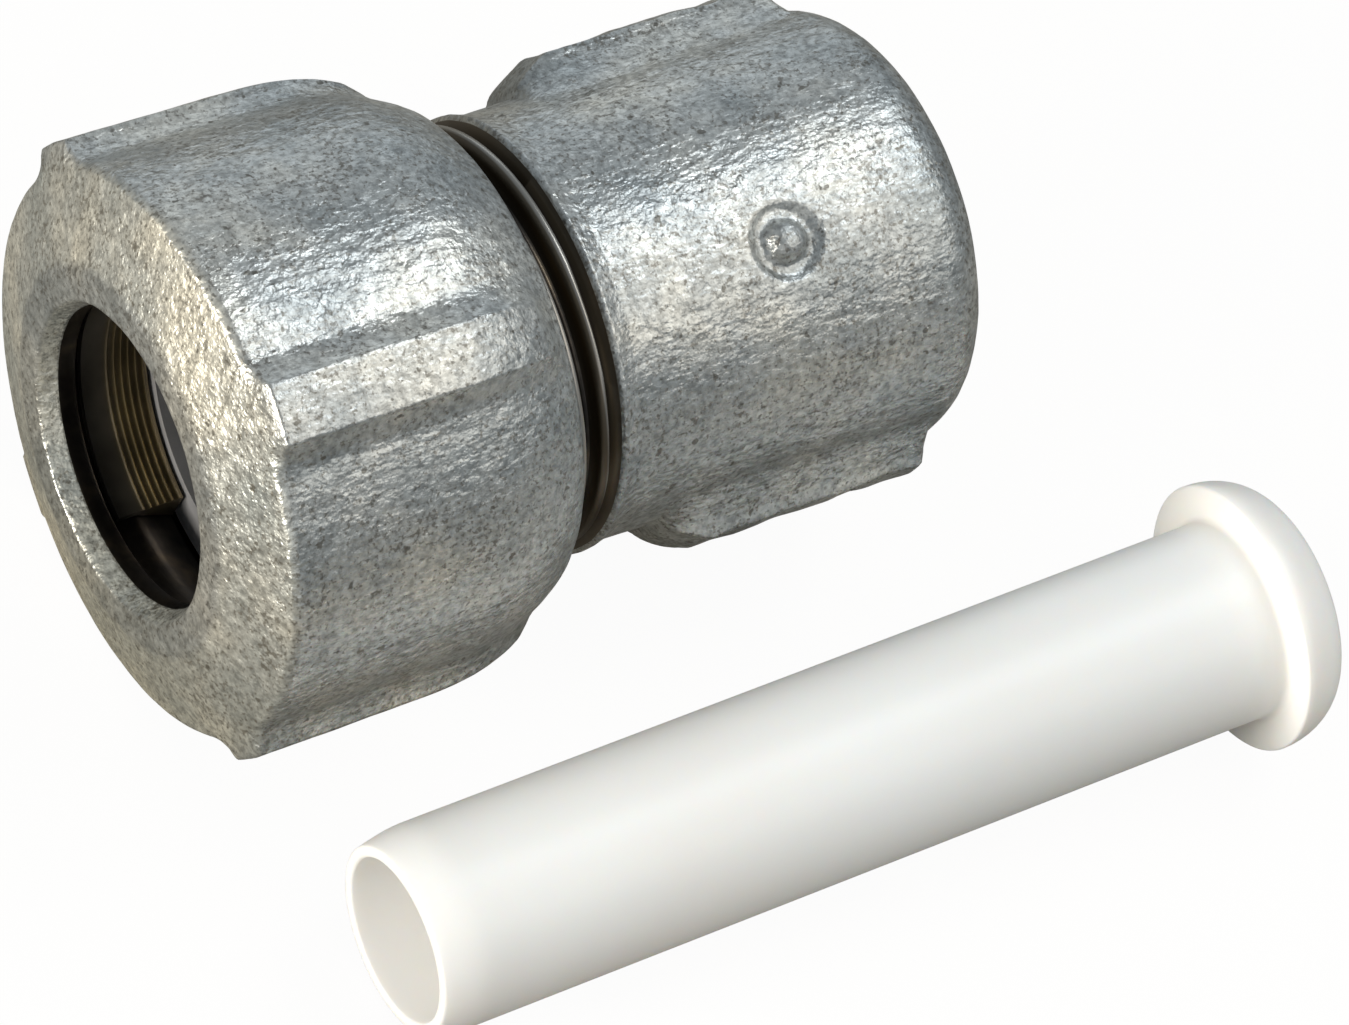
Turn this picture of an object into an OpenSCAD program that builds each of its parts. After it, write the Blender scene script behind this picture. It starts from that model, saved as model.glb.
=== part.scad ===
// Compression adapter for plastic pipe: a cast iron body with a cap nut, its clamping
// parts and a rubber seal, and the loose plastic insert that stiffens the pipe's end.
// Lengths are in millimetres. The fitting's axis is X, from the cap nut to the female
// end, and +Z is up. The origin is on the axis where the female thread's bore starts.

/* [Body] */
// Length of the cast body, from its mouth to its end face
body_len = 52.7; // [52:0.1:60]
// Radius of the barrel where it leaves the male thread
barrel_r = 16.9; // [16.8:0.05:18]
// How much the barrel grows in radius towards its end, as a casting's draft
barrel_draft = 0.15; // [0:0.05:0.6]
// Radius of the round corner at the end face
end_corner_r = 4.2; // [2:0.1:5]
// Radius of the bore that the pipe slides into
socket_r = 11; // [10.5:0.05:11.2]
// Depth of that bore, from the body's mouth to the stop
socket_depth = 34.5; // [26:0.1:34.6]
// Radius of the waterway through the stop
waterway_r = 8.4; // [6:0.1:9]

/* [Female thread] */
// Bore radius of the female thread, at its crests
outlet_r = 9.3155; // [9.2:0.01:9.6]
// Depth of the female thread, from the end face
outlet_depth = 15.5; // [12:0.1:16.5]
// Length of the bevel at the female thread's mouth
outlet_bevel_len = 1.2; // [0.4:0.1:2]
// Radius of that bevel at the end face
outlet_bevel_r = 10.7; // [10.2:0.1:11.4]

/* [Male thread] */
// Outer radius of the male thread
thread_r = 16.625; // [16.5:0.005:16.7]
// Pitch of the male thread
thread_pitch = 2.309; // [1.8:0.001:2.4]
// Height of the male thread's ridges
thread_depth = 1.479; // [1.1:0.001:1.5]
// Length of the plain lead before the first ridge
thread_lead = 1; // [0.6:0.1:2]
// Length of the threaded zone, with its run-out
thread_len = 19.2; // [14:0.1:20]
// Radial gap between the male thread and the cap nut's bore
thread_gap = 0.25; // [0.1:0.05:0.4]

/* [Ribs and pip] */
// Radius of the two ribs along the body's parting line
rib_r = 19.3; // [18.6:0.1:20.5]
// Width of a rib at its foot, with its fillets
rib_foot_w = 12.6; // [10.5:0.1:14]
// Radius of the fillets along a rib's foot
rib_fillet_r = 3.6; // [2:0.1:4]
// Distance from the body's mouth to where the ribs start
rib_start = 24; // [22:0.1:30]
// Length of the slope at a rib's start
rib_ramp = 3.4; // [1:0.1:6]
// Distance from the end face to the ribs' blunt ends
rib_end_gap = 3.9; // [3:0.1:10]
// Distance from the body's mouth to the pip
pip_pos = 36; // [30:0.1:42]
// Radius of the pip
pip_r = 1.5; // [1:0.1:2.5]
// Radius of the sunk ring round the pip
pip_ring_r = 2.5; // [1.9:0.1:3.5]

/* [Cap nut] */
// Length of the cap nut
nut_len = 28; // [26:0.1:32]
// Radius of the cap nut's round barrel
nut_r = 21.8; // [21.2:0.1:24]
// Radius of the flat ring on the cap nut's face
nut_face_r = 14.3; // [12.8:0.1:16]
// Length of the cone from the face to the cap nut's shoulder
nut_cone_len = 2.2; // [1:0.1:3]
// Length of the shoulder's rounding
nut_shoulder_len = 1.4; // [1:0.1:3]
// Drop of the shoulder's front edge below the barrel
nut_shoulder_drop = 0.6; // [0.2:0.1:0.9]
// Length of the dome at the cap nut's rear
nut_dome_len = 9; // [5:0.1:11]
// Radius of that dome's curve, seen from the side
nut_dome_r = 16; // [14:0.1:24]
// Radius of the hole that the pipe enters
entry_r = 11.5; // [11.3:0.05:12]
// Length of the lip round that hole
lip_len = 3; // [2:0.1:4]

/* [Cap nut ridges] */
// Number of ridges that a wrench turns the cap nut by
ridge_count = 4; // [3:1:6]
// Height of a ridge over the barrel
ridge_height = 1.6; // [1:0.1:2.5]
// Width of a ridge at its foot, with its fillets
ridge_foot_w = 9; // [7:0.1:11]
// Radius of the fillets along a ridge's foot
ridge_fillet_r = 2.3; // [1.5:0.1:3]
// Radius of the rounding at a ridge's front
ridge_nose_r = 3.4; // [2:0.1:4]
// Radius of the rounding at a ridge's rear
ridge_tail_r = 2.4; // [1.5:0.1:3]
// Distance from the cap nut's face to the front of a ridge
ridge_start = 1.2; // [0.6:0.1:2]
// Distance from the cap nut's face to the rear of a ridge
ridge_end = 23; // [18:0.1:25]

/* [Clamping parts] */
// Length of the clamping ring
clamp_len = 5.4; // [4:0.1:7]
// Length of the clamping ring's straight front, before its cone
clamp_straight_len = 1.6; // [0.8:0.1:2.4]
// Outer radius of the clamping ring's straight front
clamp_front_r = 12.5; // [12.3:0.05:13]
// Radius of the clamping ring's bore between its teeth
clamp_bore_r = 11.9; // [11.8:0.02:12]
// Height of the clamping ring's teeth
clamp_tooth_h = 0.3; // [0.1:0.02:0.35]
// Number of teeth along the clamping ring
clamp_teeth = 2; // [1:1:3]
// Angle of the slot through the clamping ring
clamp_slot_angle = 65; // [20:1:80]
// Free length between the lip and the clamping ring
clamp_play = 0.6; // [0.3:0.1:1]
// Radial gap between the clamping parts and the cap nut
clamp_gap = 0.3; // [0.2:0.05:0.4]
// Outer radius of the pressure ring
press_ring_r = 14.9; // [14.4:0.05:15]
// Thickness of the pressure ring
press_ring_len = 1.8; // [1:0.1:3]
// Bore radius of the pressure ring
press_ring_bore_r = 11.2; // [11.15:0.05:11.6]
// Free length between the clamping ring and the pressure ring
press_ring_play = 0.25; // [0.1:0.05:0.5]

/* [Seal] */
// Radius of the body's cone at its mouth, where the seal sits
seal_cone_r = 14.2; // [13.8:0.05:14.4]
// Radius of that cone at its inner end
seal_cone_inner_r = 11.6; // [11.4:0.05:12]
// Depth of that cone
seal_cone_len = 5; // [4:0.1:7]
// Length of the rubber seal
seal_len = 4; // [2.5:0.1:4]
// Bore radius of the rubber seal
seal_bore_r = 11.2; // [11.1:0.05:11.35]
// Gap between the rubber seal and the body's cone
seal_gap = 0.25; // [0.15:0.05:0.4]
// Free length between the pressure ring and the body's mouth, which tightening takes up
seal_slack = 1.45; // [1.3:0.05:2.5]

/* [Pipe insert] */
// Length of the pipe insert
insert_len = 77.3; // [40:0.1:90]
// Outer radius of its tube
insert_r = 7.82; // [7.3:0.01:8.2]
// Radius of its bore
insert_bore_r = 6.35; // [5.5:0.05:6.6]
// Outer radius of the tube at its tip
insert_tip_r = 7.15; // [6.9:0.05:7.25]
// Length of the taper behind the tip
insert_taper_len = 4; // [2:0.1:8]
// Radius of its flange
flange_r = 10.6; // [9.4:0.1:10.9]
// Thickness of its flange
flange_len = 4.5; // [2:0.1:6]
// Radius of the flat rim at the flange's face
flange_face_r = 7.5; // [7:0.1:8.5]
// Distance from the fitting's axis to the insert, along Y
insert_side = 36.5; // [34:0.1:60]
// Distance from the cap nut's face to the insert's tip, along X
insert_shift = 7.6; // [0:0.1:30]
// Angle of the insert to the fitting's axis, seen from above
insert_yaw = 0.4; // [0:0.1:10]

/* [Hidden] */
$fn = 96;

// How far added forms reach into the wall that carries them
root = 1.5;
// How far the fillets' feet lie under the surface, so that they cut it cleanly
sink = 0.1;
// Number of straight steps in an arc of a turned profile
arc_steps = 8;
// Flank angle of the male thread
flank_angle = 27.5;
// Width of a rib's worn edge at its blunt end
rib_edge = 0.7;
// Depth of the sunk ring round the pip, and height of the pip over the barrel
pip_ring_depth = 0.45;
pip_height = 0.9;
// Bevels at the rear of the nut's bore and at the edge of its entry
nut_bore_bevel = 0.8;
entry_bevel = 0.3;
// Length of the slope at the male thread's inner end
shoulder_slope = 0.5;
// Bevel inside the insert's tip
insert_tip_bevel = 0.25;

// Places along X of the body's mouth and the cap nut's face
mouth_x = outlet_bevel_len - body_len;
clamp_end = lip_len + clamp_play + clamp_len;
press_ring_start = clamp_end + press_ring_play;
press_ring_end = press_ring_start + press_ring_len;
nut_reach = press_ring_end + seal_slack;
nut_x = mouth_x - nut_reach;

// The cap nut's inside follows the clamping parts
groove_r = clamp_front_r + clamp_gap;
cone_start = lip_len + clamp_play + clamp_straight_len;
seat_r = press_ring_r + clamp_gap;
nut_thread_start = press_ring_end + 0.15;
nut_thread_r = thread_r + thread_gap;

// The fitting lies on the cap nut's barrel and on the edge of one ridge
ridge_r = nut_r + ridge_height;
ridge_top_half = ridge_foot_w / 2 - ridge_fillet_r;
ridge_turn = acos(nut_r / ridge_r) + asin(ridge_top_half / ridge_r);
floor_z = -nut_r;
// The castings' features, as turned from the top towards -Y when looking along +X
rib_angle = ridge_turn + 88;
pip_angle = ridge_turn - 2;
slot_angle = ridge_turn + 127.5;

// The insert lies on its tube's front edge and on its flange
insert_tilt = atan((flange_r - insert_r) / (insert_len - flange_len - insert_taper_len));
insert_axis_h = insert_r * cos(insert_tilt) - insert_taper_len * sin(insert_tilt);

// Points of an arc about c, from angle a0 to a1
function arc(c, r, a0, a1) = [
    for (i = [0:arc_steps]) c + r * [cos(a0 + (a1 - a0) * i / arc_steps), sin(a0 + (a1 - a0) * i / arc_steps)]
];

// A solid turned about the X axis from points of [distance along X, radius]
module turned(points) {
    rotate([0, 90, 0]) rotate_extrude(convexity = 6) polygon([for (p = points) [p[1], p[0]]]);
}

// A bar along X with concave fillets at both sides, which stands on a round surface
module filleted_bar(surface_r, foot_w, fillet_r, top_r, length) {
    half = foot_w / 2;
    foot = sqrt(surface_r * surface_r - half * half) - sink;
    rotate([90, 0, 90]) linear_extrude(length) difference() {
        translate([-half, foot - root]) square([foot_w, top_r + root - foot]);
        for (side = [-1, 1]) translate([side * half, foot + fillet_r]) circle(fillet_r);
    }
}

// One pitch of the male thread's outline, as a closed ridge between two roots
function thread_tooth(start) = let (
    root_r = thread_r - thread_depth,
    flank = thread_depth * tan(flank_angle),
    land = (thread_pitch - 2 * flank) / 2
) [
    [start, root_r],
    [start + land / 2, root_r],
    [start + land / 2 + flank, thread_r],
    [start + 3 * land / 2 + flank, thread_r],
    [start + 3 * land / 2 + 2 * flank, root_r]
];

module body_outline() {
    root_r = thread_r - thread_depth;
    teeth = floor((thread_len - shoulder_slope) / thread_pitch);
    thread_end = thread_lead + thread_len;
    corner_r = barrel_r + barrel_draft - end_corner_r;
    turned(concat(
        [[0, seal_cone_r - root], [0, seal_cone_r], [0, root_r - 0.2], [0.2, root_r]],
        [for (i = [0:teeth - 1]) each thread_tooth(thread_lead + i * thread_pitch)],
        [[thread_end - shoulder_slope, root_r], [thread_end, barrel_r]],
        arc([body_len - end_corner_r, corner_r], end_corner_r, 90, 0),
        [[body_len, 0], [0, 0]]
    ));
}

module body_bores() {
    past = 1;
    turned([
        [-past, 0],
        [-past, seal_cone_r + past * (seal_cone_r - seal_cone_inner_r) / seal_cone_len],
        [seal_cone_len, seal_cone_inner_r],
        [seal_cone_len, socket_r],
        [socket_depth, socket_r],
        [socket_depth, waterway_r],
        [body_len - outlet_depth, waterway_r],
        [body_len - outlet_depth + outlet_r - waterway_r, outlet_r],
        [body_len - outlet_bevel_len, outlet_r],
        [body_len, outlet_bevel_r],
        [body_len + past, outlet_bevel_r],
        [body_len + past, 0]
    ]);
}

module body_ribs() {
    rib_end = body_len - rib_end_gap;
    inner_r = barrel_r - 2 * root;
    for (turn = [0, 180]) rotate([rib_angle + turn, 0, 0]) intersection() {
        translate([rib_start, 0, 0])
            filleted_bar(barrel_r, rib_foot_w, rib_fillet_r, rib_r + 1, rib_end - rib_start);
        turned([
            [rib_start, inner_r],
            [rib_start, barrel_r],
            [rib_start + rib_ramp, rib_r],
            [rib_end - rib_edge, rib_r],
            [rib_end, rib_r - rib_edge],
            [rib_end, inner_r]
        ]);
    }
}

module body_pip() {
    rotate([pip_angle, 0, 0]) translate([pip_pos, 0, 0]) {
        translate([0, 0, barrel_r - root]) cylinder(h = root - pip_ring_depth / 2, r = pip_r);
        translate([0, 0, barrel_r - pip_ring_depth]) scale(1) pip_dome();
    }
}

module pip_dome() {
    dome_h = pip_ring_depth + pip_height;
    dome_r = (dome_h * dome_h + pip_r * pip_r) / (2 * dome_h);
    intersection() {
        translate([0, 0, dome_h - dome_r]) sphere(dome_r);
        cylinder(h = dome_h + 1, r = dome_r + 1);
    }
}

module body() {
    color("#b4b8ba") translate([mouth_x, 0, 0]) {
        difference() {
            union() {
                body_outline();
                body_ribs();
            }
            body_bores();
            rotate([pip_angle, 0, 0]) translate([pip_pos, 0, barrel_r - pip_ring_depth])
                cylinder(h = 2, r = pip_ring_r);
        }
        body_pip();
    }
}

module nut_outline() {
    edge = [nut_cone_len, nut_r - nut_shoulder_drop];
    // Radius of the shoulder's arc, which ends level with the barrel
    shoulder_r = (nut_shoulder_len * nut_shoulder_len + nut_shoulder_drop * nut_shoulder_drop)
        / (2 * nut_shoulder_drop);
    shoulder_a = 90 + asin(nut_shoulder_len / shoulder_r);
    dome_a = acos(nut_dome_len / nut_dome_r);
    turned(concat(
        [[0, entry_r], [0, nut_face_r], edge],
        arc([nut_cone_len + nut_shoulder_len, nut_r - shoulder_r], shoulder_r, shoulder_a, 90),
        arc([nut_len - nut_dome_len, nut_r - nut_dome_r], nut_dome_r, 90, dome_a),
        [[nut_len, entry_r]]
    ));
}

module nut_bores() {
    past = 1;
    turned([
        [-past, 0],
        [-past, entry_r + entry_bevel + past],
        [entry_bevel, entry_r],
        [lip_len, entry_r],
        [lip_len, groove_r],
        [cone_start, groove_r],
        [clamp_end, seat_r],
        [nut_thread_start, seat_r],
        [nut_thread_start + nut_thread_r - seat_r, nut_thread_r],
        [nut_len - nut_bore_bevel, nut_thread_r],
        [nut_len + past, nut_thread_r + nut_bore_bevel + past],
        [nut_len + past, 0]
    ]);
}

module nut_ridges() {
    inner_r = nut_r - 2 * root;
    for (i = [0:ridge_count - 1]) rotate([ridge_turn + i * 360 / ridge_count, 0, 0]) intersection() {
        translate([ridge_start, 0, 0])
            filleted_bar(nut_r, ridge_foot_w, ridge_fillet_r, ridge_r + 1, ridge_end - ridge_start);
        turned(concat(
            [[ridge_start, inner_r]],
            arc([ridge_start + ridge_nose_r, ridge_r - ridge_nose_r], ridge_nose_r, 180, 90),
            arc([ridge_end - ridge_tail_r, ridge_r - ridge_tail_r], ridge_tail_r, 90, 0),
            [[ridge_end, inner_r]]
        ));
    }
}

module cap_nut() {
    color("#a8acab") translate([nut_x, 0, 0]) difference() {
        union() {
            nut_outline();
            nut_ridges();
        }
        nut_bores();
    }
}

// The clamping ring's bore, with its teeth leaning towards the nut's entry
function clamp_teeth_line(start, end) = let (step = (end - start) / clamp_teeth) [
    for (i = [0:clamp_teeth - 1]) each [
        [end - (i + 0.25) * step, clamp_bore_r],
        [end - (i + 0.5) * step, clamp_bore_r - clamp_tooth_h],
        [end - (i + 0.55) * step, clamp_bore_r]
    ]
];

module clamping_ring() {
    front = lip_len + clamp_play;
    reach = seat_r + 1;
    half = clamp_slot_angle / 2;
    color("#6f675a") translate([nut_x, 0, 0]) difference() {
        turned(concat(
            [
                [front, clamp_bore_r],
                [front, clamp_front_r],
                [cone_start, clamp_front_r],
                [clamp_end, press_ring_r],
                [clamp_end, clamp_bore_r]
            ],
            clamp_teeth_line(front, clamp_end)
        ));
        rotate([slot_angle, 0, 0]) translate([front - 1, 0, 0]) rotate([90, 0, 90])
            linear_extrude(clamp_len + 2) polygon([
                [0, 0],
                [-reach * tan(half), reach],
                [reach * tan(half), reach]
            ]);
    }
}

module pressure_ring() {
    color("#9a9c9e") translate([nut_x, 0, 0]) turned([
        [press_ring_start, press_ring_bore_r],
        [press_ring_start, press_ring_r],
        [press_ring_end, press_ring_r],
        [press_ring_end, press_ring_bore_r]
    ]);
}

module gasket() {
    slope = (seal_cone_r - seal_cone_inner_r) / seal_cone_len;
    front_r = seal_cone_r - seal_gap;
    color("#2b2b2c") translate([mouth_x, 0, 0]) turned([
        [0, seal_bore_r],
        [0, front_r],
        [seal_len, front_r - slope * seal_len],
        [seal_len, seal_bore_r]
    ]);
}

module pipe_insert() {
    shoulder = insert_len - flange_len;
    // The taper's curve bends most just behind the tip
    taper_bend = [insert_taper_len * 0.35, insert_tip_r + (insert_r - insert_tip_r) * 0.65];
    color("#f1eeea") translate([nut_x + insert_shift, -insert_side, floor_z + insert_axis_h])
        rotate([0, -insert_tilt, insert_yaw]) turned(concat(
            [
                [insert_tip_bevel, insert_bore_r],
                [0, insert_bore_r + insert_tip_bevel],
                [0, insert_tip_r - insert_tip_bevel],
                [insert_tip_bevel, insert_tip_r],
                taper_bend,
                [insert_taper_len, insert_r],
                [shoulder, insert_r]
            ],
            [for (i = [0:arc_steps]) [
                shoulder + flange_len * sin(90 * i / arc_steps),
                flange_face_r + (flange_r - flange_face_r) * cos(90 * i / arc_steps)
            ]],
            [[insert_len, insert_bore_r]]
        ));
}

body();
cap_nut();
clamping_ring();
pressure_ring();
gasket();
pipe_insert();
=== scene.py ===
"""Looks for a compression pipe adapter: the castings, clamping parts, seal and pipe insert."""
import math

import bpy
import numpy as np
from mathutils import Euler, Matrix, Vector, noise


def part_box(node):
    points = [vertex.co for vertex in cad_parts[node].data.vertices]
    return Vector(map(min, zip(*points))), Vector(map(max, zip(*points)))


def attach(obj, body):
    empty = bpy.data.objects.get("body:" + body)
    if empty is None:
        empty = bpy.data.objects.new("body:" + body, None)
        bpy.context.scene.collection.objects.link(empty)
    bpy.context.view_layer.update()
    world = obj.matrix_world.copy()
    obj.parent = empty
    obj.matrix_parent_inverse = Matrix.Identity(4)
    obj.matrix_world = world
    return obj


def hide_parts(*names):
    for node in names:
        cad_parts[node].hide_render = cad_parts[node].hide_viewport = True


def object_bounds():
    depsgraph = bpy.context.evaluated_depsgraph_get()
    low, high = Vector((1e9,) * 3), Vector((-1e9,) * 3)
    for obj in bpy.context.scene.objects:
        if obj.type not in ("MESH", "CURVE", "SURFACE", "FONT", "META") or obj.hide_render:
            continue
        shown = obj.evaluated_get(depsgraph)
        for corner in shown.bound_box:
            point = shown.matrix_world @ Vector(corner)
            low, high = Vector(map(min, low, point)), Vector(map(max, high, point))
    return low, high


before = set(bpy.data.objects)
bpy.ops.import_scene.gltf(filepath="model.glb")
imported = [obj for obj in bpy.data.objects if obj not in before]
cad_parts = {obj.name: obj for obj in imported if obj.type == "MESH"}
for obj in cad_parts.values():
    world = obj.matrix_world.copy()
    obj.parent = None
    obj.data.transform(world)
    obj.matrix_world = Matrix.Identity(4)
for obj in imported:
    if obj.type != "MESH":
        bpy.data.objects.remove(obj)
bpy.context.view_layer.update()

MM = 0.001

# The frame's own places along the axis, in millimetres
end_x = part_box("body")[1].x / MM
mouth_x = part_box("body")[0].x / MM
nut_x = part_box("cap_nut")[0].x / MM
nut_end_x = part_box("cap_nut")[1].x / MM
floor_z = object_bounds()[0][2] / MM

# Sizes of the body, in millimetres, with lengths from its mouth
BODY_LEN = end_x - mouth_x
RIM_R = 16.9
RIM_LEN = 1.8
BARREL_R = 16.5
BARREL_DRAFT = 0.5
END_CORNER_R = 4.2
SOCKET_R = 11.0
SOCKET_DEPTH = 34.5
WATERWAY_R = 8.4
OUTLET_R = 9.3155
OUTLET_DEPTH = 15.5
OUTLET_BEVEL = 1.2
OUTLET_BEVEL_R = 10.7
OUTLET_PITCH = 1.814
OUTLET_THREAD_DEPTH = 1.162
SEAL_CONE_R = 14.2
SEAL_CONE_INNER_R = 11.6
SEAL_CONE_LEN = 5.0

# The male thread
THREAD_R = 16.625
THREAD_PITCH = 2.309
THREAD_DEPTH = 1.479
THREAD_LEAD = 1.0
THREAD_LEN = 19.2
THREAD_GAP = 0.25
# Where the thread's first root starts, which puts its crests where the photo has them
THREAD_PHASE = 0.61 * THREAD_PITCH

# The body's ribs, along the parting line, and its pip
RIB_R = 19.2
RIB_HALF = 6.3
RIB_TOP_HALF = 2.7
RIB_START = 26.0
RIB_RAMP = 3.4
RIB_END_GAP = 3.9
PIP_POS = 36.2
PIP_R = 1.65
PIP_RING_R = 2.7
PIP_RING_DEPTH = 0.5
PIP_HEIGHT = 0.9

# The cap nut, with lengths from its face
NUT_LEN = nut_end_x - nut_x
NUT_R = 21.8
NUT_DRAFT = 0.15
NUT_FACE_R = 14.3
NUT_CONE_LEN = 2.2
NUT_SHOULDER_LEN = 0.9
NUT_SHOULDER_DROP = 0.4
NUT_DOME_LEN = 9.0
NUT_DOME_R = 16.5
NUT_BORE_BEVEL = 0.8
ENTRY_R = 11.5
ENTRY_MOUTH_R = 12.15
ENTRY_FLARE_LEN = 1.5
LIP_LEN = 3.0
GROOVE_R = 12.8
CONE_START = 5.2
SEAT_R = 15.2
NUT_THREAD_START = 11.2
RIDGE_COUNT = 4
RIDGE_HEIGHT = 1.6
RIDGE_HALF = 4.5
RIDGE_TOP_HALF = 2.2
RIDGE_EDGE_R = 0.6
RIDGE_DRAFT = 0.2
RIDGE_TAIL_START = 17.5
RIDGE_TAIL_R = 18.0
RIDGE_END = 27.3

# The clamping ring, with lengths from the nut's face
CLAMP_START = 3.6
CLAMP_END = 9.0
CLAMP_FRONT_R = 12.5
CLAMP_REAR_R = 14.9
CLAMP_BORE_R = 11.9
CLAMP_TEETH = 6
CLAMP_TEETH_START = 5.4
CLAMP_TOOTH_HEIGHT = 0.2

# Turns about the axis, from the top towards -Y
RIDGE_TURN = math.acos(NUT_R / (NUT_R + RIDGE_HEIGHT)) + math.asin(RIDGE_TOP_HALF / (NUT_R + RIDGE_HEIGHT))
RIB_TURN = RIDGE_TURN + math.radians(87.6)
PIP_TURN = RIDGE_TURN - math.radians(1.6)
# The clamping ring's ends, at either side of its slot
CLAMP_TURNS = (RIDGE_TURN + math.radians(160), RIDGE_TURN + math.radians(360 + 95))

# The pipe insert
INSERT_LEN = 77.3
INSERT_R = 7.82
INSERT_BORE_R = 6.35
INSERT_TIP_R = 7.3
INSERT_TAPER_LEN = 4.0
FLANGE_R = 10.6
FLANGE_LEN = 4.5
FLANGE_FACE_R = 7.7
INSERT_SIDE = 36.5
INSERT_SHIFT = 7.6
INSERT_YAW = math.radians(0.4)

# The meshes: columns round the axis, greatest distance between rows, and depth of the casting's unevenness
NUT_COLUMNS = 432
NUT_SPACING = 0.32
NUT_FRONT_SPACING = 0.22
NUT_UNEVEN = 0.09
BODY_COLUMNS = 384
BODY_SPACING = 0.36
BODY_UNEVEN = 0.1
INSERT_COLUMNS = 192
CLAMP_COLUMNS = 180

# The floor: its size in millimetres, and how much of its look is plain white
FLOOR_SIZE = 1500
FLOOR_GLOW = 0.85

# The camera, from the photo's perspective: its place in millimetres and its turns in degrees
CAMERA_PLACE = (-316.66, -259.35, 533.2)
CAMERA_TURNS = (32.54, -14.503, -28.809)
CAMERA_LENS = 238.27


def arc(cx, cy, r, start, end, steps):
    """Points of an arc, with its angles in degrees."""
    angles = [math.radians(start + (end - start) * i / steps) for i in range(steps + 1)]
    return [(cx + r * math.cos(a), cy + r * math.sin(a)) for a in angles]


def spaced(points, spacing):
    """The points of a line with its corners kept and none further apart than the spacing."""
    out = [points[0]]
    for a, b in zip(points, points[1:]):
        steps = max(1, math.ceil(math.dist(a, b) / spacing))
        for i in range(1, steps + 1):
            out.append((a[0] + (b[0] - a[0]) * i / steps, a[1] + (b[1] - a[1]) * i / steps))
    return out


def turns_round(count, dense=()):
    """Angles of the columns round the axis, closer together near each (centre, half width, gain)."""
    fine = np.linspace(0, 2 * math.pi, 7201)
    weight = np.ones_like(fine)
    for centre, width, gain in dense:
        away = np.abs((fine - centre + math.pi) % (2 * math.pi) - math.pi)
        weight += gain * np.exp(-((away / width) ** 4))
    total = np.concatenate([[0], np.cumsum((weight[1:] + weight[:-1]) / 2)])
    return np.interp(np.linspace(0, total[-1], count + 1), total, fine)


def plain_rows(points, turn):
    """Rows of a turned surface: places along the axis and radii, one column for each angle."""
    points = np.array(points)
    along = np.repeat(points[:, :1], len(turn), axis=1)
    radius = np.repeat(points[:, 1:], len(turn), axis=1)
    return along, radius


# Places of a thread's rows in one pitch, as shares of it: root, root edge, flank, crest edge, crest and back
THREAD_STEPS = (0.0, 0.083, 0.25, 0.417, 0.5, 0.583, 0.75, 0.917)
# The same for the female thread, which is seen only from its end
COARSE_STEPS = (0.0, 0.25, 0.5, 0.75)


def thread_height(share):
    """Height of a pipe thread at a share of its pitch, from 0 at the root to 1 at the crest."""
    u = np.abs((share + 0.5) % 1.0 - 0.5) * 2
    h = np.clip((u - 0.166) / (0.834 - 0.166), 0, 1)
    return h * h * (3 - 2 * h) * 0.35 + h * 0.65


def thread_rows(start, end, pitch, turn, origin, shares=THREAD_STEPS, reverse=False):
    """Rows that follow a right-handed helix and are held between start and end.
    Returns the places along the axis and the share of the pitch at each point."""
    first = math.floor((start - origin) / pitch) - 1
    last = math.ceil((end - origin) / pitch) + 1
    steps = np.array([k + s for k in range(first, last) for s in shares])
    share = np.repeat(steps[:, None], len(turn), axis=1)
    along = origin + (share + turn / (2 * math.pi)) * pitch
    held = np.clip(along, start, end)
    share = (held - origin) / pitch - turn / (2 * math.pi)
    if reverse:
        return held[::-1], share[::-1]
    return held, share


def grid_mesh(name, blocks, turn, materials):
    """A closed mesh from blocks of rows round the axis. A block is (along, radius, material number).
    Points that fall together are joined, so helical rows close on themselves."""
    along = np.concatenate([b[0] for b in blocks]) * MM
    radius = np.concatenate([b[1] for b in blocks]) * MM
    which = np.concatenate([np.full(len(b[0]), b[2]) for b in blocks])
    turn = np.where(np.arange(len(turn)) == len(turn) - 1, 0.0, turn)
    co = np.stack([along, -radius * np.sin(turn), radius * np.cos(turn)], axis=-1)
    keys = np.round(co.reshape(-1, 3) * 1e8).astype(np.int64)
    _, first, index = np.unique(keys, axis=0, return_index=True, return_inverse=True)
    index = index.reshape(along.shape)
    points = co.reshape(-1, 3)[first]
    below = np.roll(index, -1, axis=0)
    quads = np.stack([index[:, :-1], index[:, 1:], below[:, 1:], below[:, :-1]], axis=-1).reshape(-1, 4)
    owner = np.repeat(which, along.shape[1] - 1)
    faces = []
    numbers = []
    for quad, number in zip(quads.tolist(), owner.tolist()):
        face = [v for i, v in enumerate(quad) if v != quad[i - 1]]
        if len(face) > 2 and len(set(face)) == len(face):
            faces.append(face)
            numbers.append(number)
    mesh = bpy.data.meshes.new(name)
    mesh.from_pydata(points.tolist(), [], faces)
    for material in materials:
        mesh.materials.append(material)
    mesh.polygons.foreach_set("material_index", numbers)
    mesh.shade_smooth()
    mesh.validate()
    piece = bpy.data.objects.new(name, mesh)
    bpy.context.scene.collection.objects.link(piece)
    return piece


def smooth(x):
    """A soft step from 0 to 1."""
    x = np.clip(x, 0, 1)
    return x * x * (3 - 2 * x)


def side_of(turn, centre):
    """Angle from a centre, between -pi and pi."""
    return (turn - centre + math.pi) % (2 * math.pi) - math.pi


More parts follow.
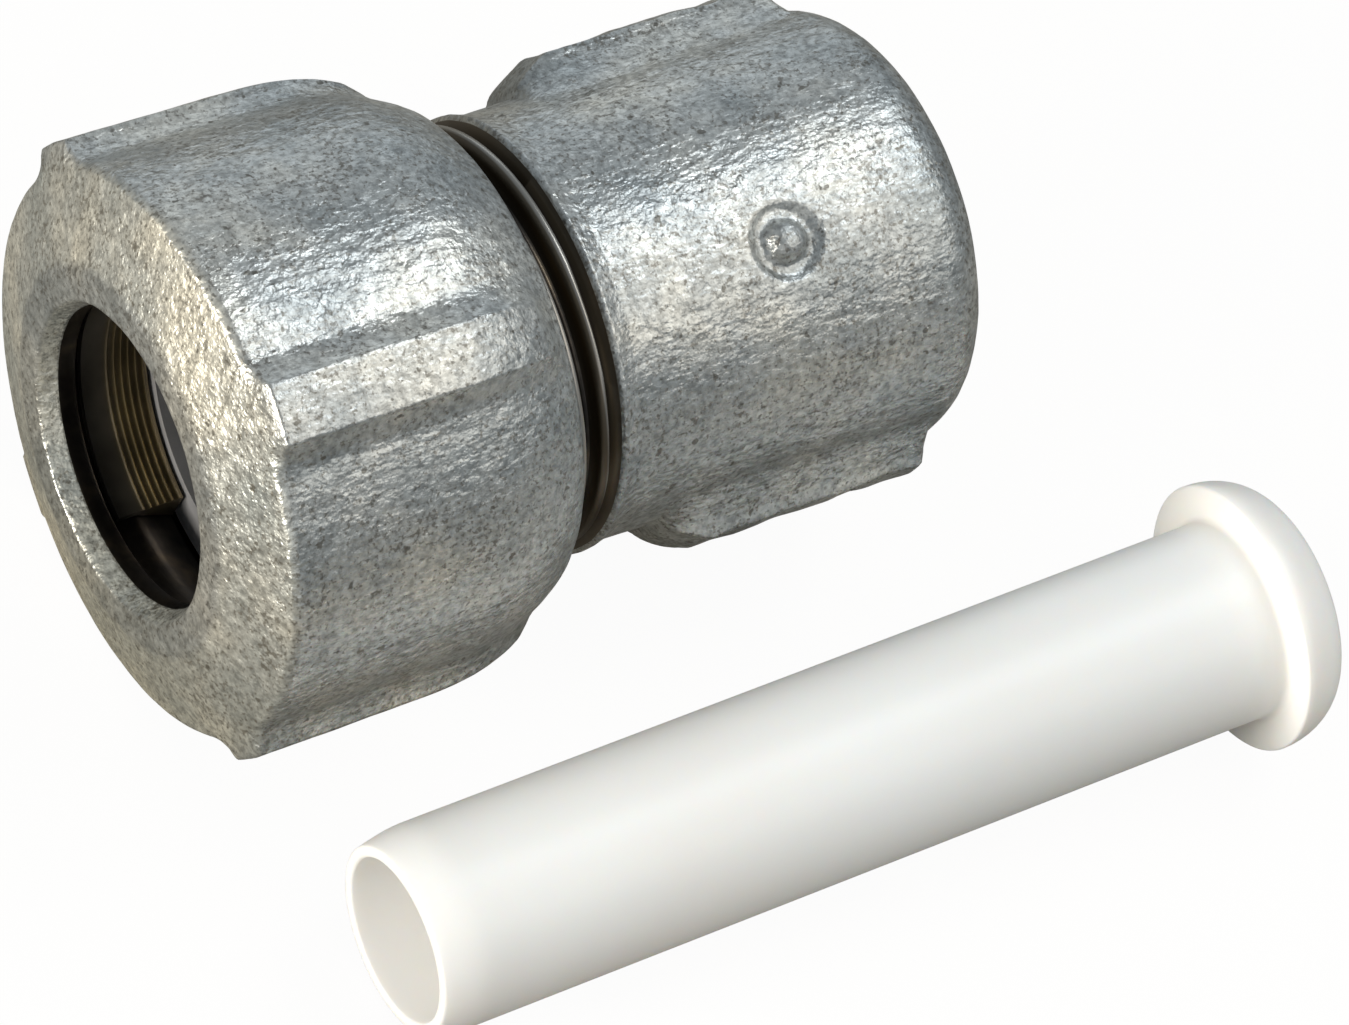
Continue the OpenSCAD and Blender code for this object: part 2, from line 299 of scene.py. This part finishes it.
def rough_cast(along, radius, turn, strength, seed):
    """Moves rows in, and a little out, by a casting's soft unevenness."""
    y = -radius * np.sin(turn)
    z = radius * np.cos(turn)
    out = np.zeros_like(radius)
    for i in range(out.shape[0]):
        for j in range(out.shape[1] - 1):
            p = Vector((along[i, j] * 0.45 + seed, y[i, j] * 0.8, z[i, j] * 0.8))
            out[i, j] = 0.55 * noise.noise(p * 0.35) + 0.3 * noise.noise(p) + 0.15 * noise.noise(p * 2.1)
    out[:, -1] = out[:, 0]
    return radius + strength * (out - 0.3)


def lateral(side, radius, top_half, half):
    """A ridge's share of its height at a distance from its middle, with a soft edge and a hollow foot."""
    away = np.abs(radius * np.sin(np.clip(side, -math.pi / 2, math.pi / 2)))
    away = np.where(np.abs(side) > math.pi / 2, 99.0, away)
    t = np.clip((half - away) / (half - top_half), 0, 1)
    return 0.65 * (1 - np.sqrt(1 - t * t)) + 0.35 * smooth(t)


def nut_outer_line():
    """The cap nut's outline from the edge of its entry to the rear of its bore."""
    edge_r = NUT_R - NUT_SHOULDER_DROP
    shoulder_r = (NUT_SHOULDER_LEN ** 2 + NUT_SHOULDER_DROP ** 2) / (2 * NUT_SHOULDER_DROP)
    shoulder_a = 90 + math.degrees(math.asin(NUT_SHOULDER_LEN / shoulder_r))
    dome_a = math.degrees(math.acos(NUT_DOME_LEN / NUT_DOME_R))
    line = [(ENTRY_FLARE_LEN, ENTRY_R), (0.2, ENTRY_MOUTH_R - 0.08), (0.0, ENTRY_MOUTH_R + 0.1)]
    line += [(0.0, NUT_FACE_R), (NUT_CONE_LEN, edge_r)]
    line += arc(NUT_CONE_LEN + NUT_SHOULDER_LEN, NUT_R - shoulder_r, shoulder_r, shoulder_a, 90, 4)[1:]
    line += arc(NUT_LEN - NUT_DOME_LEN, NUT_R - NUT_DRAFT - NUT_DOME_R, NUT_DOME_R, 90, dome_a, 10)
    rear_r = line[-1][1]
    line[-1] = (NUT_LEN - 0.25, rear_r + 0.12)
    line.append((NUT_LEN, rear_r - 0.15))
    line.append((NUT_LEN, THREAD_R + THREAD_GAP + NUT_BORE_BEVEL))
    return line


def ridge_envelope(along):
    """Radius of a ridge's crest line along the cap nut."""
    tail = np.clip(along - RIDGE_TAIL_START, 0, RIDGE_TAIL_R * 0.9)
    drop = RIDGE_DRAFT * np.clip((along - NUT_CONE_LEN) / (RIDGE_TAIL_START - NUT_CONE_LEN), 0, 1)
    drop += RIDGE_TAIL_R - np.sqrt(RIDGE_TAIL_R ** 2 - tail ** 2)
    crest = NUT_R + RIDGE_HEIGHT - drop
    # The nut's cone runs on over the ridge's front, with a soft edge between the two
    cone = NUT_FACE_R + along * (NUT_R - NUT_SHOULDER_DROP - NUT_FACE_R) / NUT_CONE_LEN
    share = np.clip(0.5 + 0.5 * (crest - cone) / RIDGE_EDGE_R, 0, 1)
    return crest + (cone - crest) * share - RIDGE_EDGE_R * share * (1 - share)


def make_cap_nut(materials):
    """The cap nut: its casting's outside, its thread and its inside."""
    turn = turns_round(NUT_COLUMNS, [(RIDGE_TURN + i * math.pi / 2, 0.25, 0.9) for i in range(RIDGE_COUNT)])
    line = nut_outer_line()
    front = [p for p in line if p[0] <= NUT_CONE_LEN + NUT_SHOULDER_LEN]
    outer = spaced(front, NUT_FRONT_SPACING) + spaced(line[len(front) - 1:], NUT_SPACING)[1:]
    along, radius = plain_rows(outer, turn)
    envelope = ridge_envelope(along)
    fade = np.clip((RIDGE_END - along) / 2.0, 0, 1) ** 0.7
    for i in range(RIDGE_COUNT):
        side = side_of(turn, RIDGE_TURN + i * 2 * math.pi / RIDGE_COUNT)
        rise = np.clip(envelope - radius, 0, None) * fade * lateral(side, NUT_R, RIDGE_TOP_HALF, RIDGE_HALF)
        radius = radius + rise * (along > NUT_CONE_LEN - 0.3)
    radius = rough_cast(along, radius, turn, NUT_UNEVEN, 3.1)
    # The rough surface stays inside the casting's box
    radius = np.minimum(radius, NUT_R + RIDGE_HEIGHT)
    bore_start = NUT_LEN - NUT_BORE_BEVEL
    held, share = thread_rows(NUT_THREAD_START, bore_start, THREAD_PITCH, turn,
                              mouth_x - nut_x + THREAD_PHASE, reverse=True)
    fade = np.clip((held - NUT_THREAD_START) / 0.8, 0, 1) * np.clip((bore_start - held) / 0.5, 0, 1)
    bore_r = THREAD_R + THREAD_GAP
    thread = bore_r - THREAD_DEPTH * (1 - thread_height(share)) * fade
    inside = [
        (NUT_THREAD_START, SEAT_R), (CLAMP_END, SEAT_R), (CONE_START, GROOVE_R), (LIP_LEN + 0.15, GROOVE_R),
        (LIP_LEN, GROOVE_R - 0.15), (LIP_LEN, ENTRY_R + 0.15), (LIP_LEN - 0.15, ENTRY_R),
        (ENTRY_FLARE_LEN + 0.2, ENTRY_R),
    ]
    blocks = [
        (along, radius, 0),
        (held, thread, 1),
        (*plain_rows(spaced(inside, 1.2), turn), 1),
    ]
    blocks = [(a + nut_x, r, m) for a, r, m in blocks]
    return grid_mesh("cap_nut_casting", blocks, turn, materials)


def barrel_at(along):
    """Radius of the body's barrel behind its rim, at a distance from the mouth."""
    start = THREAD_LEAD + THREAD_LEN + RIM_LEN
    return BARREL_R + BARREL_DRAFT * (along - start) / (BODY_LEN - END_CORNER_R - start)


def body_outer_line():
    """The body's outline from the end of its thread to the edge of its mouth bevel."""
    corner_r = BARREL_R + BARREL_DRAFT - END_CORNER_R
    start = THREAD_LEAD + THREAD_LEN
    line = [(start - 0.1, RIM_R - 0.35), (start + 0.2, RIM_R)]
    line += [(start + 0.5 * RIM_LEN, (RIM_R + BARREL_R) / 2), (start + RIM_LEN, BARREL_R)]
    line += arc(BODY_LEN - END_CORNER_R, corner_r, END_CORNER_R, 90, 0, 10)
    line += [(BODY_LEN, OUTLET_BEVEL_R)]
    return line


def rib_envelope(along, end, rough):
    """Radius of a rib's crest line along the body, with the casting's uneven edge."""
    rise = np.clip((along - RIB_START) / RIB_RAMP, 0, 1)
    blunt = np.clip((end - along) / 0.8, 0, 1)
    base = barrel_at(along)
    return base + (RIB_R - base) * rise ** 0.55 * blunt ** 0.5 * (1 + rough)


def make_body(materials):
    """The body: its thread, its casting's outside, the female thread and the inside."""
    ribs = (RIB_TURN, RIB_TURN + math.pi)
    turn = turns_round(BODY_COLUMNS, [(PIP_TURN, 0.2, 0.9)] + [(t % (2 * math.pi), 0.4, 0.5) for t in ribs])
    outer = spaced(body_outer_line(), BODY_SPACING)
    along, radius = plain_rows(outer, turn)
    end = BODY_LEN - RIB_END_GAP
    for centre in ribs:
        edge = math.sin(centre) * 7.0
        ragged = np.array([[noise.noise(Vector((a * 0.4, edge, t * 9.0))) for a, t in zip(row, turn)]
                           for row in along])
        crest = rib_envelope(along, end, 0.1 * ragged - 0.03)
        share = lateral(side_of(turn, centre), BARREL_R, RIB_TOP_HALF, RIB_HALF)
        radius = radius + np.clip(crest - radius, 0, None) * share * (along < end + 0.2)
    away = np.hypot(along - PIP_POS, BARREL_R * side_of(turn, PIP_TURN))
    recess = smooth((PIP_RING_R + 0.3 - away) / 0.6)
    dome = np.sqrt(np.clip(1 - (away / PIP_R) ** 2, 0, 1))
    rough = rough_cast(along, radius, turn, BODY_UNEVEN, 11.7)
    radius = rough - PIP_RING_DEPTH * recess + (PIP_RING_DEPTH + PIP_HEIGHT) * dome
    root_r = THREAD_R - THREAD_DEPTH
    thread_end = THREAD_LEAD + THREAD_LEN - 0.6
    held, share = thread_rows(THREAD_LEAD - 0.6, thread_end, THREAD_PITCH, turn, THREAD_PHASE)
    fade = np.clip((held - THREAD_LEAD + 0.6) / 1.2, 0, 1) * np.clip((thread_end - held) / 0.6, 0, 1)
    thread = root_r + THREAD_DEPTH * thread_height(share) * fade
    outlet_start = BODY_LEN - OUTLET_DEPTH
    outlet_end = BODY_LEN - OUTLET_BEVEL
    inner, inner_share = thread_rows(outlet_start + 0.8, outlet_end, OUTLET_PITCH, turn, outlet_start,
                                     COARSE_STEPS, reverse=True)
    inner_fade = np.clip((inner - outlet_start - 0.8) / 2.5, 0, 1)
    outlet = OUTLET_R + OUTLET_THREAD_DEPTH * thread_height(inner_share) * inner_fade
    inside = [
        (outlet_start + 0.8, OUTLET_R), (outlet_start, WATERWAY_R), (SOCKET_DEPTH, WATERWAY_R),
        (SOCKET_DEPTH, SOCKET_R), (SEAL_CONE_LEN, SOCKET_R), (SEAL_CONE_LEN, SEAL_CONE_INNER_R),
        (0.0, SEAL_CONE_R), (0.0, root_r - 0.2), (0.2, root_r),
    ]
    blocks = [
        (held, thread, 1),
        (along, radius, 0),
        (inner, outlet, 1),
        (*plain_rows(spaced(inside, 3.0), turn), 1),
    ]
    blocks = [(a + mouth_x, r, m) for a, r, m in blocks]
    return grid_mesh("body_casting", blocks, turn, materials)


def make_insert(materials):
    """The insert as a turned mesh, laid where its solid lies."""
    shoulder = INSERT_LEN - FLANGE_LEN
    tip = 0.25
    line = [(tip, INSERT_BORE_R)]
    line += arc(tip, INSERT_BORE_R + tip, tip, 270, 180, 3)[1:]
    line += arc(tip, INSERT_TIP_R - tip, tip, 180, 90, 3)
    bend_r = INSERT_R - INSERT_TIP_R
    for i in range(1, 9):
        share = i / 8
        radius = INSERT_TIP_R + bend_r * math.sin(share * math.pi / 2)
        line.append((tip + (INSERT_TAPER_LEN - tip) * share, radius))
    line += [(shoulder - 0.5, INSERT_R)]
    line += arc(shoulder - 0.5, INSERT_R + 0.5, 0.5, 270, 360, 4)[1:]
    line += [(shoulder, FLANGE_R - 0.2)]
    line += arc(shoulder + 0.2, FLANGE_R - 0.2, 0.2, 180, 90, 3)[1:]
    for i in range(1, 13):
        a = math.radians(90 * i / 12)
        along = shoulder + 0.2 + (FLANGE_LEN - 0.2) * math.sin(a)
        line.append((along, FLANGE_FACE_R + (FLANGE_R - FLANGE_FACE_R) * math.cos(a)))
    line += arc(INSERT_LEN - 0.3, INSERT_BORE_R + 0.3, 0.3, 0, -90, 3)
    turn = np.linspace(0, 2 * math.pi, INSERT_COLUMNS + 1)
    piece = grid_mesh("insert_moulding", [(*plain_rows(spaced(line, 1.5), turn), 0)], turn, materials)
    tilt = math.atan((FLANGE_R - INSERT_R) / (INSERT_LEN - FLANGE_LEN - INSERT_TAPER_LEN))
    height = INSERT_R * math.cos(tilt) - INSERT_TAPER_LEN * math.sin(tilt)
    place = Vector((nut_x + INSERT_SHIFT, -INSERT_SIDE, floor_z + height)) * MM
    piece.data.transform(Matrix.Translation(place) @ Euler((0, -tilt, INSERT_YAW)).to_matrix().to_4x4())
    return piece


def make_clamping_ring(materials):
    """The split ring: a closed outline with fine teeth, swept from one end of its slot to the other."""
    line = [(CLAMP_START, CLAMP_BORE_R), (CLAMP_START, CLAMP_FRONT_R), (CONE_START, CLAMP_FRONT_R),
            (CLAMP_END, CLAMP_REAR_R), (CLAMP_END, CLAMP_BORE_R)]
    step = (CLAMP_END - CLAMP_TEETH_START) / CLAMP_TEETH
    for i in range(CLAMP_TEETH):
        end = CLAMP_END - i * step
        line += [(end - 0.25 * step, CLAMP_BORE_R), (end - 0.6 * step, CLAMP_BORE_R - CLAMP_TOOTH_HEIGHT),
                 (end - 0.65 * step, CLAMP_BORE_R)]
    points = []
    for turn in np.linspace(*CLAMP_TURNS, CLAMP_COLUMNS):
        points += [(a + nut_x, -r * math.sin(turn), r * math.cos(turn)) for a, r in line]
    count = len(line)
    faces = [tuple(range(count)), tuple(range((CLAMP_COLUMNS - 1) * count, CLAMP_COLUMNS * count))[::-1]]
    for i in range(CLAMP_COLUMNS - 1):
        for j in range(count):
            k = (j + 1) % count
            faces.append((i * count + j, (i + 1) * count + j, (i + 1) * count + k, i * count + k))
    mesh = bpy.data.meshes.new("split_ring")
    mesh.from_pydata([Vector(q) * MM for q in points], [], faces)
    for material in materials:
        mesh.materials.append(material)
    mesh.shade_smooth()
    mesh.set_sharp_from_angle(angle=math.radians(20))
    ring = bpy.data.objects.new("split_ring", mesh)
    bpy.context.scene.collection.objects.link(ring)
    return ring


def node_tree(name):
    """A new material, with its tree and its shader."""
    material = bpy.data.materials.new(name)
    material.use_nodes = True
    tree = material.node_tree
    shader = tree.nodes["Principled BSDF"]
    return material, tree, shader


def add(tree, kind, inputs=None, **settings):
    """A new node with its settings and inputs; an input that is a socket is linked."""
    node = tree.nodes.new(kind)
    for key, value in settings.items():
        setattr(node, key, value)
    for key, value in (inputs or {}).items():
        if isinstance(value, bpy.types.NodeSocket):
            tree.links.new(value, node.inputs[key])
        else:
            node.inputs[key].default_value = value
    return node


def ramp(tree, factor, stops):
    """The colour that a factor has between stops, each a place and a colour."""
    node = add(tree, "ShaderNodeValToRGB", {"Fac": factor})
    elements = node.color_ramp.elements
    while len(elements) < len(stops):
        elements.new(0.5)
    for element, (position, colour) in zip(elements, stops):
        element.position = position
        element.color = (*colour, 1)
    return node.outputs["Color"]


def grey(v):
    return (v, v, v)


def span(tree, value, start, end):
    """A value's share of the way from a start to an end, both in millimetres."""
    return add(tree, "ShaderNodeMapRange", {"Value": value, "From Min": start * MM,
                                            "From Max": end * MM}).outputs["Result"]


def cloud(tree, place, scale, detail=2.0, roughness=0.5):
    """Noise between 0 and 1, with its scale in waves to the metre."""
    return add(tree, "ShaderNodeTexNoise", {"Vector": place, "Scale": scale, "Detail": detail,
                                            "Roughness": roughness}).outputs["Fac"]


def blend(tree, factor, a, b, kind="MIX"):
    """A colour that goes from a to b by a factor, or a blend of the two."""
    node = add(tree, "ShaderNodeMix", data_type="RGBA", blend_type=kind)
    for key, value in (("Factor", factor), ("A", a), ("B", b)):
        kind_of_socket = "VALUE" if key == "Factor" else "RGBA"
        socket = [s for s in node.inputs if s.name == key and s.type == kind_of_socket][0]
        if isinstance(value, bpy.types.NodeSocket):
            tree.links.new(value, socket)
        else:
            socket.default_value = value if key == "Factor" else (*value, 1)
    return [s for s in node.outputs if s.type == "RGBA"][0]


def object_place(tree, stretch=(1, 1, 1)):
    """The place on the piece, in metres, stretched along each axis."""
    coordinate = add(tree, "ShaderNodeTexCoord").outputs["Object"]
    return add(tree, "ShaderNodeMapping", {"Vector": coordinate, "Scale": stretch}).outputs["Vector"]


def zinc_material():
    """Hot-dip zinc on a rough casting: a pebbled, glittering grain with fine dark specks and warm stains."""
    material, tree, shader = node_tree("cast_zinc")
    place = object_place(tree)
    grain_place = object_place(tree, (0.6, 1.1, 1.1))
    patches = cloud(tree, place, 90, 3, 0.6)
    base = ramp(tree, patches, [
        (0.3, (0.35, 0.375, 0.38)), (0.5, (0.5, 0.51, 0.497)), (0.7, (0.66, 0.64, 0.58)),
    ])
    mottle = ramp(tree, cloud(tree, place, 1700, 2, 0.6), [
        (0.34, grey(0.68)), (0.5, grey(0.97)), (0.66, grey(1.2)),
    ])
    base = blend(tree, 1.0, base, mottle, "MULTIPLY")
    field = cloud(tree, place, 2600, 2, 0.6)
    where = cloud(tree, place, 230, 3, 0.6)
    both = add(tree, "ShaderNodeMath", {0: where, 1: 0.35, 2: field}, operation="MULTIPLY_ADD").outputs[0]
    specks = ramp(tree, both, [(0.73, grey(0.0)), (0.85, grey(0.75))])
    colour = blend(tree, specks, base, (0.16, 0.147, 0.125))
    pits = ramp(tree, cloud(tree, place, 1000, 2, 0.5), [(0.68, grey(0.0)), (0.73, grey(0.8))])
    colour = blend(tree, pits, colour, (0.13, 0.12, 0.1))
    apart = add(tree, "ShaderNodeSeparateXYZ", {0: place})
    # A painted reflection brightens the cone on the nut's front, and painted shade darkens the face inside
    # it
    along = span(tree, apart.outputs["X"], nut_x, nut_x + 4)
    front = ramp(tree, along, [
        (0.02, (0.86, 0.86, 0.85)), (0.07, (1.22, 1.2, 1.14)), (0.56, (1.22, 1.2, 1.14)), (0.72, grey(1.0)),
    ])
    colour = blend(tree, 1.0, colour, front, "MULTIPLY")
    # Darker and warmer towards the floor
    height_share = span(tree, apart.outputs["Z"], floor_z, 0.0)
    darker_near_floor = ramp(tree, height_share, [(0.0, (0.84, 0.83, 0.77)), (1.0, grey(1.0))])
    colour = blend(tree, 1.0, colour, darker_near_floor, "MULTIPLY")
    shader.inputs["Metallic"].default_value = 0.8
    tree.links.new(colour, shader.inputs["Base Color"])
    rough = ramp(tree, cloud(tree, place, 700, 2, 0.5), [(0.3, grey(0.3)), (0.7, grey(0.46))])
    tree.links.new(rough, shader.inputs["Roughness"])
    coarse = cloud(tree, grain_place, 1000, 2.0, 0.5)
    fine = cloud(tree, place, 3200, 1.0, 0.5)
    height = add(tree, "ShaderNodeMath", {0: fine, 1: 0.35, 2: coarse}, operation="MULTIPLY_ADD").outputs[0]
    bump = add(tree, "ShaderNodeBump", {"Height": height, "Strength": 0.95, "Distance": 0.0002})
    tree.links.new(bump.outputs["Normal"], shader.inputs["Normal"])
    return material


def machined_material():
    """Cut iron in the threads and bores, browned and oily, with painted shade that makes the bores
    near-black and the thread roots black, and a painted highlight on the crests.
    """
    material, tree, shader = node_tree("machined_iron")
    place = object_place(tree)
    stains = cloud(tree, place, 260, 3, 0.6)
    # Stains in the bores, made near-black by painted shade
    inside = ramp(tree, stains, [
        (0.35, (0.03, 0.027, 0.025)), (0.55, (0.07, 0.06, 0.05)), (0.7, (0.16, 0.125, 0.085)),
    ])
    across = object_place(tree, (0, 1, 1))
    distance = add(tree, "ShaderNodeVectorMath", {0: across}, operation="LENGTH").outputs["Value"]
    level = span(tree, distance, THREAD_R - THREAD_DEPTH, THREAD_R)
    # Painted shade blackens the thread roots and a painted highlight brightens the crests
    thread_tone_and_painted_shade = ramp(tree, level, [
        (0.0, (0.01, 0.008, 0.006)), (0.5, (0.055, 0.042, 0.026)), (0.9, (0.13, 0.11, 0.085)),
        (1.0, (0.36, 0.34, 0.31)),
    ])
    where = add(tree, "ShaderNodeMath", {0: level, 1: 0.01}, operation="GREATER_THAN").outputs[0]
    tree.links.new(blend(tree, where, inside, thread_tone_and_painted_shade), shader.inputs["Base Color"])
    shader.inputs["Metallic"].default_value = 0.9
    shader.inputs["Roughness"].default_value = 0.34
    lines = object_place(tree, (6000, 60, 60))
    bump = add(tree, "ShaderNodeBump", {"Height": cloud(tree, lines, 1.0, 1, 0.5), "Strength": 0.15,
                                        "Distance": 0.00005})
    tree.links.new(bump.outputs["Normal"], shader.inputs["Normal"])
    return material


def clamp_material():
    """Turned metal of the clamping ring, browned and yellower towards its teeth, with painted shade that
    darkens its front end under the nut's lip.
    """
    material, tree, shader = node_tree("clamp_metal")
    place = object_place(tree)
    stains = ramp(tree, cloud(tree, place, 260, 2, 0.5), [(0.35, grey(0.7)), (0.65, grey(1.1))])
    apart = add(tree, "ShaderNodeSeparateXYZ", {0: place})
    along = span(tree, apart.outputs["X"], nut_x + CLAMP_START, nut_x + CLAMP_END)
    # Painted shade darkens the front end under the nut's lip; browner and yellower towards the teeth
    tint_and_painted_shade = ramp(tree, along, [
        (0.0, (0.14, 0.13, 0.11)), (0.3, (0.24, 0.215, 0.175)), (0.55, (0.34, 0.28, 0.17)),
        (1.0, (0.24, 0.195, 0.12)),
    ])
    tree.links.new(blend(tree, 1.0, tint_and_painted_shade, stains, "MULTIPLY"), shader.inputs["Base Color"])
    shader.inputs["Metallic"].default_value = 0.9
    shader.inputs["Roughness"].default_value = 0.34
    return material


def washer_material():
    """Plain steel of the pressure ring."""
    material, tree, shader = node_tree("washer_metal")
    stains = cloud(tree, object_place(tree), 300, 2, 0.5)
    colour = ramp(tree, stains, [(0.35, (0.55, 0.55, 0.57)), (0.65, (0.7, 0.7, 0.72))])
    tree.links.new(colour, shader.inputs["Base Color"])
    shader.inputs["Metallic"].default_value = 0.8
    shader.inputs["Roughness"].default_value = 0.4
    return material


def rubber_material():
    """Black rubber of the seal."""
    material, tree, shader = node_tree("seal_rubber")
    place = object_place(tree)
    colour = ramp(tree, cloud(tree, place, 600, 2, 0.5), [(0.3, grey(0.018)), (0.7, grey(0.035))])
    tree.links.new(colour, shader.inputs["Base Color"])
    shader.inputs["Roughness"].default_value = 0.6
    return material


def plastic_material():
    """White moulded plastic with a soft sheen and a warm depth."""
    material, tree, shader = node_tree("white_plastic")
    place = object_place(tree)
    depth = cloud(tree, place, 60, 2, 0.5)
    colour = ramp(tree, depth, [(0.3, (0.91, 0.885, 0.855)), (0.7, (0.93, 0.91, 0.885))])
    tree.links.new(colour, shader.inputs["Base Color"])
    shader.inputs["Roughness"].default_value = 0.38
    shader.inputs["Subsurface Weight"].default_value = 0.45
    shader.inputs["Subsurface Radius"].default_value = (0.003, 0.0022, 0.0016)
    shader.inputs["Subsurface Scale"].default_value = 1.0
    bump = add(tree, "ShaderNodeBump", {"Height": cloud(tree, place, 700, 2, 0.5), "Strength": 0.1,
                                        "Distance": 0.00005})
    tree.links.new(bump.outputs["Normal"], shader.inputs["Normal"])
    return material


def floor_material():
    """A white table that keeps the object's shadow."""
    material, tree, shader = node_tree("white_table")
    shader.inputs["Base Color"].default_value = (0.32, 0.3, 0.265, 1)
    shader.inputs["Roughness"].default_value = 0.9
    shader.inputs["Specular IOR Level"].default_value = 0.0
    glow = add(tree, "ShaderNodeEmission", {"Color": (1, 1, 1, 1), "Strength": 1.12})
    path = add(tree, "ShaderNodeLightPath")
    seen = add(tree, "ShaderNodeMath", {0: path.outputs["Is Camera Ray"], 1: FLOOR_GLOW},
               operation="MULTIPLY")
    mix = add(tree, "ShaderNodeMixShader", {0: seen.outputs[0], 1: shader.outputs[0], 2: glow.outputs[0]})
    tree.links.new(mix.outputs[0], tree.nodes["Material Output"].inputs["Surface"])
    return material


def make_floor():
    """The table under the object, big enough to fill the picture."""
    half = FLOOR_SIZE / 2 * MM
    z = floor_z * MM - 0.00002
    mesh = bpy.data.meshes.new("table")
    corners = [(-half, -half, z), (half, -half, z), (half, half, z), (-half, half, z)]
    mesh.from_pydata(corners, [], [(0, 1, 2, 3)])
    mesh.materials.append(floor_material())
    table = bpy.data.objects.new("table", mesh)
    bpy.context.scene.collection.objects.link(table)


def make_camera():
    """The camera that took the photo."""
    data = bpy.data.cameras.new("camera")
    data.sensor_width = 36
    data.sensor_fit = "HORIZONTAL"
    data.lens = CAMERA_LENS
    data.clip_start = 0.01
    data.clip_end = 20
    camera = bpy.data.objects.new("camera", data)
    camera.location = [v * MM for v in CAMERA_PLACE]
    camera.rotation_euler = [math.radians(v) for v in CAMERA_TURNS]
    bpy.context.scene.collection.objects.link(camera)
    bpy.context.scene.camera = camera


def area_light(name, place, target, size, power, colour):
    """A rectangular lamp at a place, in metres, that shines on a target."""
    data = bpy.data.lights.new(name, "AREA")
    data.shape = "RECTANGLE"
    data.size, data.size_y = size
    data.energy = power
    data.color = colour
    light = bpy.data.objects.new(name, data)
    light.location = place
    light.rotation_euler = (Vector(target) - Vector(place)).to_track_quat("-Z", "Y").to_euler()
    bpy.context.scene.collection.objects.link(light)


def make_lights():
    """The room's lamps and its soft bluish light from all sides."""
    centre = (-0.022, -0.015, 0)
    area_light("overhead", (0.24, 0.05, 0.53), centre, (0.24, 0.24), 0.86, (0.9, 0.96, 1.0))
    area_light("right", (0.24, -0.27, 0.46), centre, (0.5, 0.5), 1.1, (1.0, 0.95, 0.86))
    area_light("left", (-0.75, 0.0, 0.14), centre, (0.24, 0.16), 6.5, (1.0, 0.95, 0.86))
    area_light("back", (0.25, 0.6, 0.12), centre, (0.5, 0.25), 0.35, (0.86, 0.94, 1.0))
    area_light("front", (-0.3, -0.5, 0.3), centre, (0.3, 0.3), 0.22, (1.0, 0.95, 0.88))
    world = bpy.data.worlds.new("room")
    world.use_nodes = True
    background = world.node_tree.nodes["Background"]
    background.inputs["Color"].default_value = (0.84, 0.93, 1.0, 1)
    background.inputs["Strength"].default_value = 0.33
    bpy.context.scene.world = world


def dress(piece, body, node):
    """Puts a piece on its body, in the place of the frame's own node."""
    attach(piece, body)
    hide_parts(node)


make_camera()
zinc = zinc_material()
machined = machined_material()
plastic = plastic_material()
dress(make_cap_nut([zinc, machined]), "nut", "cap_nut")
dress(make_body([zinc, machined]), "fitting", "body")
dress(make_insert([plastic]), "fitting", "pipe_insert")
dress(make_clamping_ring([clamp_material()]), "rings", "clamping_ring")
for node, material in (
    ("pressure_ring", washer_material()),
    ("gasket", rubber_material()),
):
    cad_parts[node].data.materials.clear()
    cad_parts[node].data.materials.append(material)
make_floor()
make_lights()

bpy.context.scene.view_settings.view_transform = "Standard"
